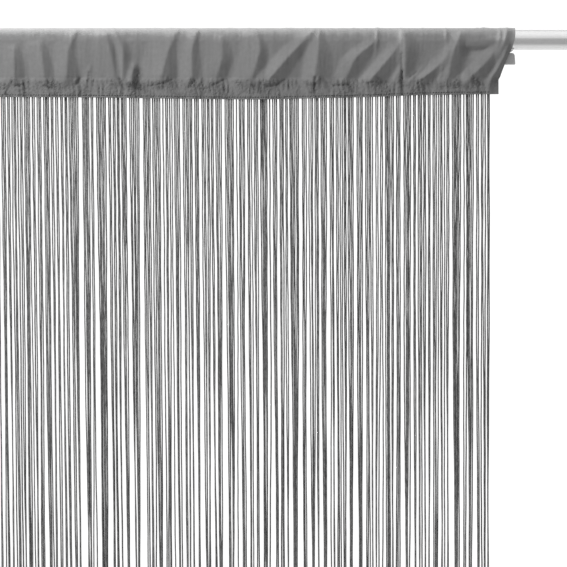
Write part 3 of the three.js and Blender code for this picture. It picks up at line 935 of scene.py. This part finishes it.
def make_clamp_screw(side, across):
    """The tapered grip under the cup, with rounded shoulders, and the shank up to the rod."""
    low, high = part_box(f"clamp_screw_{side}")
    middle_x = MIDDLE_X + across * MM
    grip_top = -0.0132
    top_share = 0.9
    shoulder = 0.0028
    rounding = 0.0011
    rounded_from = math.radians(40)
    shank_radius = 0.002
    shank_low = grip_top - 0.003
    deselect()
    bpy.ops.mesh.primitive_cube_add(size=1, location=(middle_x, ROD_Y, (low.z + grip_top) / 2))
    bpy.context.object.scale = (high.x - low.x, high.y - low.y, grip_top - low.z)
    piece = place(f"screw_{side}")
    pick(piece, "FACE", lambda face: face.normal.z > FACING)
    bpy.ops.transform.resize(value=(top_share, 1, 1), center_override=(middle_x, ROD_Y, grip_top))
    done()
    pick(piece, "EDGE", lambda edge: all(v.co.z > grip_top - LEVEL for v in edge.verts)
         and abs(edge.verts[0].co.x - edge.verts[1].co.x) < LEVEL)
    bpy.ops.mesh.bevel(offset=shoulder, segments=6)
    done()
    apply_modifier(piece, "BEVEL", width=rounding, segments=4, limit_method="ANGLE",
                   angle_limit=rounded_from)
    bpy.ops.mesh.primitive_cylinder_add(
        vertices=32, radius=shank_radius, depth=high.z - shank_low,
        location=(middle_x, ROD_Y, (high.z + shank_low) / 2),
    )
    combine(piece, place("shank"), "UNION")
    finish_hard(piece)
    return piece


# Materials

# The greys of each finish, from its darkest to its lightest, as linear values
CLOTH_GREYS = (0.165, 0.265)
STRING_GREYS = (0.066, 0.188)
THREAD_GREYS = (0.05, 0.08)
ROD_GREYS = (0.76, 0.86)
BRACKET_GREYS = (0.46, 0.6)
FLOOR_GREY = 0.82

# Painted shade: how much darker the colour is in a hollow, a crumple and all over the gathered
# band
HOLLOW_PAINTED_SHADE = 0.42
CRUMPLE_PAINTED_SHADE = 0.38
BAND_PAINTED_SHADE = 0.07

# This scale of the wave texture makes about 2400 threads to a metre
WEAVE_SCALE = 760.0

# The length of one twist of the yarn, its streaks to a turn and to a metre, and how far its
# pattern moves with its tone
YARN_TWIST = 0.0032
STREAKS_ROUND = 1.5
STREAKS_ALONG = 150.0
PATTERN_SHIFT = 700.0

# How rough the metals are, from their smoothest to their roughest
ROD_ROUGHNESS = (0.19, 0.23)
BRACKET_ROUGHNESS = (0.35, 0.5)


def new_material(name, finish):
    """A material with the given values set on its shader, and what its nodes are made with."""
    material = bpy.data.materials.new(name)
    material.use_nodes = True
    nodes = material.node_tree.nodes
    shader = nodes["Principled BSDF"]
    for key, value in finish.items():
        shader.inputs[key].default_value = value
    return material, nodes, material.node_tree.links, shader


def node(nodes, kind, **values):
    """A new node with its properties, or its inputs by name, set."""
    made = nodes.new(kind)
    for key, value in values.items():
        if key in made.inputs:
            made.inputs[key].default_value = value
        else:
            setattr(made, key, value)
    return made


def math_node(nodes, links, operation, *values):
    """The result of a Math node on numbers and other nodes' outputs."""
    made = node(nodes, "ShaderNodeMath", operation=operation)
    for socket, value in zip(made.inputs, values):
        if isinstance(value, (int, float)):
            socket.default_value = value
        else:
            links.new(value, socket)
    return made.outputs[0]


def spread(nodes, links, factor, low, high, over=(0.0, 1.0)):
    """A value from low to high as the factor runs over the given range."""
    limits = {"From Min": over[0], "From Max": over[1], "To Min": low, "To Max": high}
    made = node(nodes, "ShaderNodeMapRange", **limits)
    links.new(factor, made.inputs["Value"])
    return made.outputs["Result"]


def noise(nodes, links, vector, scale, detail, **values):
    made = node(nodes, "ShaderNodeTexNoise", Scale=scale, Detail=detail, **values)
    links.new(vector, made.inputs["Vector"])
    return made.outputs["Fac"]


def attribute(nodes, name):
    return node(nodes, "ShaderNodeAttribute", attribute_name=name).outputs["Fac"]


def relief(nodes, links, shader, height, strength, distance):
    """A bump of this height on the shader, over any that it has."""
    made = node(nodes, "ShaderNodeBump", Strength=strength, Distance=distance)
    links.new(height, made.inputs["Height"])
    for link in list(shader.inputs["Normal"].links):
        links.new(link.from_socket, made.inputs["Normal"])
    links.new(made.outputs["Normal"], shader.inputs["Normal"])


def paint(piece, material):
    piece.data.materials.clear()
    piece.data.materials.append(material)


def woven_threads(nodes, links, uv):
    """The threads both ways, where they cross."""
    weave = {"Scale": WEAVE_SCALE, "Distortion": 1.2, "Detail": 1.0, "Detail Scale": 1.5}
    threads = []
    for direction in ("X", "Y"):
        wave = node(nodes, "ShaderNodeTexWave", bands_direction=direction, **weave)
        links.new(uv, wave.inputs["Vector"])
        threads.append(wave.outputs["Fac"])
    return math_node(nodes, links, "MULTIPLY", *threads)


def crumples(nodes, links, uv, gathered):
    """The crumpled patches of the gathered band, as a bump and as painted shade."""
    patch = noise(nodes, links, uv, scale=55.0, detail=1.0)
    patches = spread(nodes, links, patch, 0.25, 1.0, over=(0.4, 0.58))
    inside = math_node(nodes, links, "MULTIPLY", gathered, patches)
    fine = noise(nodes, links, uv, scale=330.0, detail=2.0)
    return math_node(nodes, links, "MULTIPLY", fine, inside)


def heading_material():
    finish = {
        "Roughness": 0.85, "Sheen Weight": 0.25, "Sheen Roughness": 0.5,
        "Specular IOR Level": 0.25,
    }
    material, nodes, links, shader = new_material("heading_weave", finish)
    uv = node(nodes, "ShaderNodeUVMap", uv_map="UVMap").outputs["UV"]
    slub = noise(nodes, links, uv, scale=240.0, detail=3.0)
    tone = noise(nodes, links, uv, scale=28.0, detail=2.0)
    mixed = math_node(nodes, links, "MULTIPLY", slub, tone)
    open_tone = spread(nodes, links, mixed, *CLOTH_GREYS)
    gathered = attribute(nodes, "gathered")
    crumple_bump_and_shade = crumples(nodes, links, uv, gathered)
    shade = 1.0
    # Painted shade darkens the colour in hollows, in crumples and over the gathered band
    painted_shade_parts = (
        # painted shade in tucks and between puckers
        (attribute(nodes, "hollow"), HOLLOW_PAINTED_SHADE),
        # painted shade in the crumples, which are also a bump
        (crumple_bump_and_shade, CRUMPLE_PAINTED_SHADE),
        # painted shade over the whole gathered band
        (gathered, BAND_PAINTED_SHADE),
    )
    for where, share in painted_shade_parts:
        shade = math_node(nodes, links, "MULTIPLY_ADD", where, -share, shade)
    links.new(math_node(nodes, links, "MULTIPLY", open_tone, shade), shader.inputs["Base Color"])
    woven = math_node(nodes, links, "ADD", woven_threads(nodes, links, uv), slub)
    relief(nodes, links, shader, woven, strength=0.35, distance=0.00025)
    relief(nodes, links, shader, crumple_bump_and_shade, strength=0.9, distance=0.0022)
    return material


def yarn_material(name, greys):
    """Twisted yarn, with streaks along it. Each string's tone also shifts its own pattern."""
    finish = {"Roughness": 0.7, "Sheen Weight": 0.3, "Sheen Roughness": 0.45}
    material, nodes, links, shader = new_material(name, finish)
    parts = node(nodes, "ShaderNodeSeparateXYZ")
    uv = node(nodes, "ShaderNodeUVMap", uv_map="UVMap")
    links.new(uv.outputs["UV"], parts.inputs["Vector"])
    round_it, along_it = parts.outputs["X"], parts.outputs["Y"]
    tone = attribute(nodes, "tone")
    own = math_node(nodes, links, "MULTIPLY", tone, PATTERN_SHIFT)
    twist = math_node(nodes, links, "MULTIPLY", along_it, 1 / YARN_TWIST)
    turn = math_node(nodes, links, "ADD", math_node(nodes, links, "ADD", twist, round_it), own)
    wound = math_node(nodes, links, "SINE", math_node(nodes, links, "MULTIPLY", turn, 2 * math.pi))
    stretch = node(nodes, "ShaderNodeCombineXYZ")
    links.new(math_node(nodes, links, "MULTIPLY", round_it, STREAKS_ROUND), stretch.inputs["X"])
    along = math_node(nodes, links, "MULTIPLY_ADD", along_it, STREAKS_ALONG, own)
    links.new(along, stretch.inputs["Y"])
    streak = noise(nodes, links, stretch.outputs["Vector"], scale=1.0, detail=3.0,
                   noise_dimensions="2D")
    base = spread(nodes, links, streak, *greys, over=(0.3, 0.7))
    links.new(math_node(nodes, links, "MULTIPLY", base, tone), shader.inputs["Base Color"])
    relief(nodes, links, shader, wound, strength=0.4, distance=0.0002)
    return material


def rod_material():
    material, nodes, links, shader = new_material("rod_satin_metal", {"Metallic": 1.0})
    place_at = node(nodes, "ShaderNodeTexCoord")
    stretch = node(nodes, "ShaderNodeMapping", Scale=(12, 900, 900))
    links.new(place_at.outputs["Object"], stretch.inputs["Vector"])
    grain = noise(nodes, links, stretch.outputs["Vector"], scale=1.0, detail=3.0)
    links.new(spread(nodes, links, grain, *ROD_GREYS), shader.inputs["Base Color"])
    links.new(spread(nodes, links, grain, *ROD_ROUGHNESS), shader.inputs["Roughness"])
    return material


def bracket_material():
    material, nodes, links, shader = new_material("bracket_satin_grey", {"Metallic": 0.3})
    place_at = node(nodes, "ShaderNodeTexCoord")
    grain = noise(nodes, links, place_at.outputs["Object"], scale=900.0, detail=2.0)
    links.new(spread(nodes, links, grain, *BRACKET_GREYS), shader.inputs["Base Color"])
    links.new(spread(nodes, links, grain, *BRACKET_ROUGHNESS), shader.inputs["Roughness"])
    relief(nodes, links, shader, grain, strength=0.15, distance=0.00005)
    return material


def floor_material():
    finish = {"Base Color": (FLOOR_GREY, FLOOR_GREY, FLOOR_GREY, 1), "Roughness": 0.9}
    return new_material("pale_floor", finish)[0]


# Studio

# The room that shows in the metal, from straight down (0) to straight up (1)
ROOM_PANELS = (
    (0, 0.94), (0.03, 0.74), (0.085, 0.53), (0.16, 0.46), (0.53, 0.46),
    (0.63, 0.68), (0.724, 0.88), (0.81, 0.93), (0.95, 1.1), (1, 1.2),
)

# How bright the room is in the metal on the wall's side, from what share of a direction to the
# wall on, and how bright it is all round on the cloth and straight to the camera
ROOM_BEHIND = 1.0
BEHIND_FROM = 1 / 3
ROOM_LIGHT = 0.44
BACKDROP = 1.1

# Where each light is, its size and its power
LIGHTS_AIM = (-0.45, ROD_Y, 0)
KEY_LIGHT = ((-1.48, -1.18, 0.97), 0.7, 42)
TOP_LIGHT = ((-0.95, ROD_Y + 0.28, 0.8), 0.2, 25)

FLOOR_SIZE = 8
FLOOR_OUT = -0.5
FLOOR_BELOW_STRINGS = 0.12


def add_camera():
    data = bpy.data.cameras.new("camera")
    camera = bpy.data.objects.new("camera", data)
    bpy.context.scene.collection.objects.link(camera)
    half = VIEW_SIDE / 2
    camera.location = (VIEW_LEFT + half, ROD_Y - CAMERA_DISTANCE, VIEW_TOP - half)
    camera.rotation_euler = (math.pi / 2, 0, 0)
    data.sensor_width = SENSOR
    data.lens = SENSOR * CAMERA_DISTANCE / VIEW_SIDE
    data.clip_end = 50
    bpy.context.scene.camera = camera


def add_light(name, place_at, size, power):
    data = bpy.data.lights.new(name, "AREA")
    data.shape = "SQUARE"
    data.size = size
    data.energy = power
    light = bpy.data.objects.new(name, data)
    bpy.context.scene.collection.objects.link(light)
    light.location = place_at
    away = Vector(place_at) - Vector(LIGHTS_AIM)
    light.rotation_euler = away.to_track_quat("Z", "Y").to_euler()


def add_world():
    """White to the camera, and to the object a dim room with bright panels above and below."""
    world = bpy.data.worlds.new("studio")
    world.use_nodes = True
    nodes = world.node_tree.nodes
    links = world.node_tree.links
    background = nodes["Background"]
    background.inputs["Color"].default_value = (1, 1, 1, 1)
    sky = node(nodes, "ShaderNodeTexCoord")
    way = node(nodes, "ShaderNodeSeparateXYZ")
    links.new(sky.outputs["Generated"], way.inputs["Vector"])
    panels = node(nodes, "ShaderNodeValToRGB")
    height = math_node(nodes, links, "MULTIPLY_ADD", way.outputs["Z"], 0.5, 0.5)
    links.new(height, panels.inputs["Fac"])
    ramp = panels.color_ramp
    while len(ramp.elements) < len(ROOM_PANELS):
        ramp.elements.new(0.5)
    for element, (at, grey) in zip(ramp.elements, ROOM_PANELS):
        element.position = at
        element.color = (grey, grey, grey, 1)
    rays = node(nodes, "ShaderNodeLightPath")
    behind = math_node(nodes, links, "MULTIPLY", way.outputs["Y"], ROOM_BEHIND / BEHIND_FROM)
    behind = math_node(nodes, links, "MINIMUM", behind, ROOM_BEHIND)
    shown = math_node(nodes, links, "MAXIMUM", panels.outputs["Color"], behind)
    lit = math_node(nodes, links, "MULTIPLY", rays.outputs["Is Glossy Ray"], shown)
    soft = math_node(nodes, links, "MULTIPLY", rays.outputs["Is Diffuse Ray"], ROOM_LIGHT)
    seen = math_node(nodes, links, "MULTIPLY", rays.outputs["Is Camera Ray"], BACKDROP)
    on_object = math_node(nodes, links, "ADD", lit, soft)
    total = math_node(nodes, links, "ADD", on_object, seen)
    links.new(total, background.inputs["Strength"])
    bpy.context.scene.world = world


def add_floor():
    deselect()
    floor_up = strings_low.z - FLOOR_BELOW_STRINGS
    bpy.ops.mesh.primitive_plane_add(size=FLOOR_SIZE, location=(MIDDLE_X, FLOOR_OUT, floor_up))
    floor = place("floor")
    paint(floor, floor_material())
    floor.visible_glossy = False


def add_studio():
    add_camera()
    add_world()
    add_light("key", *KEY_LIGHT)
    add_light("top", *TOP_LIGHT)
    add_floor()
    bpy.context.scene.view_settings.view_transform = "Standard"


def build():
    cloth = make_heading()
    declare(cloth, "heading_cloth", "heading")
    paint(cloth, heading_material())

    stitches = make_stitches()
    declare(stitches, "heading_cloth", "heading")
    paint(stitches, yarn_material("stitch_thread_twist", THREAD_GREYS))

    rod = make_rod()
    declare(rod, "rod_metal", "rod")
    paint(rod, rod_material())

    strings = make_strings()
    yarn = yarn_material("string_yarn_twist", STRING_GREYS)
    for piece in strings:
        declare(piece, "string_yarn", "strings")
        paint(piece, yarn)

    metal = bracket_material()
    for side, across in (("left", -BRACKET_ACROSS), ("right", BRACKET_ACROSS)):
        made = {
            f"wall_plate_{side}": make_wall_plate(side, across),
            f"bracket_arm_{side}": make_arm(side, across),
            f"clamp_screw_{side}": make_clamp_screw(side, across),
        }
        for name, piece in made.items():
            declare(piece, "bracket_metal", name)
            paint(piece, metal)


build()
add_studio()
